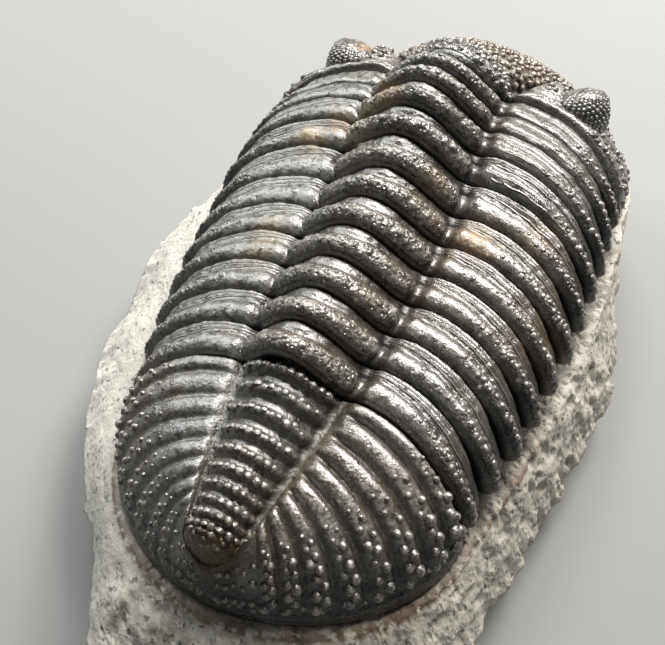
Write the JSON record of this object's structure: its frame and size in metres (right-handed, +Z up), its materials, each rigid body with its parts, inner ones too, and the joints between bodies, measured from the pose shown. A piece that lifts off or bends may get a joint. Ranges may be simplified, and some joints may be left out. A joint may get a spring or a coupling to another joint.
{
  "type": "trilobite fossil",
  "caption": "Large beaded trilobite fossil with high eyes, arched ringed axis and ribbed tail, lying on the pale limestone block it was prepared from.",
  "frame": {"origin": "centre of the bounding box at the flat bottom of the limestone block", "axes": "+Y along the animal from tail to head, +X to its right side, +Z up"},
  "size_m": [0.0832, 0.129, 0.0467],
  "materials": {
    "matrix": "matt pale limestone, chiselled",
    "cephalon": "dark polished calcite shell, finely granular",
    "thoracic_segment_01": "dark polished calcite shell, finely granular",
    "thoracic_segment_02": "dark polished calcite shell, finely granular",
    "thoracic_segment_03": "dark polished calcite shell, finely granular",
    "thoracic_segment_04": "dark polished calcite shell, finely granular",
    "thoracic_segment_05": "dark polished calcite shell, finely granular",
    "thoracic_segment_06": "dark polished calcite shell, finely granular",
    "thoracic_segment_07": "dark polished calcite shell, finely granular",
    "thoracic_segment_08": "dark polished calcite shell, finely granular",
    "thoracic_segment_09": "dark polished calcite shell, finely granular",
    "thoracic_segment_10": "dark polished calcite shell, finely granular",
    "thoracic_segment_11": "dark polished calcite shell, finely granular",
    "pygidium": "dark polished calcite shell, finely granular"
  },
  "bodies": {
    "root": {"matrix": "matrix", "cephalon": "cephalon", "thoracic_segment_01": "thoracic_segment_01", "thoracic_segment_02": "thoracic_segment_02", "thoracic_segment_03": "thoracic_segment_03", "thoracic_segment_04": "thoracic_segment_04", "thoracic_segment_05": "thoracic_segment_05", "thoracic_segment_06": "thoracic_segment_06", "thoracic_segment_07": "thoracic_segment_07", "thoracic_segment_08": "thoracic_segment_08", "thoracic_segment_09": "thoracic_segment_09", "thoracic_segment_10": "thoracic_segment_10", "thoracic_segment_11": "thoracic_segment_11", "pygidium": "pygidium"}
  },
  "joints": []
}
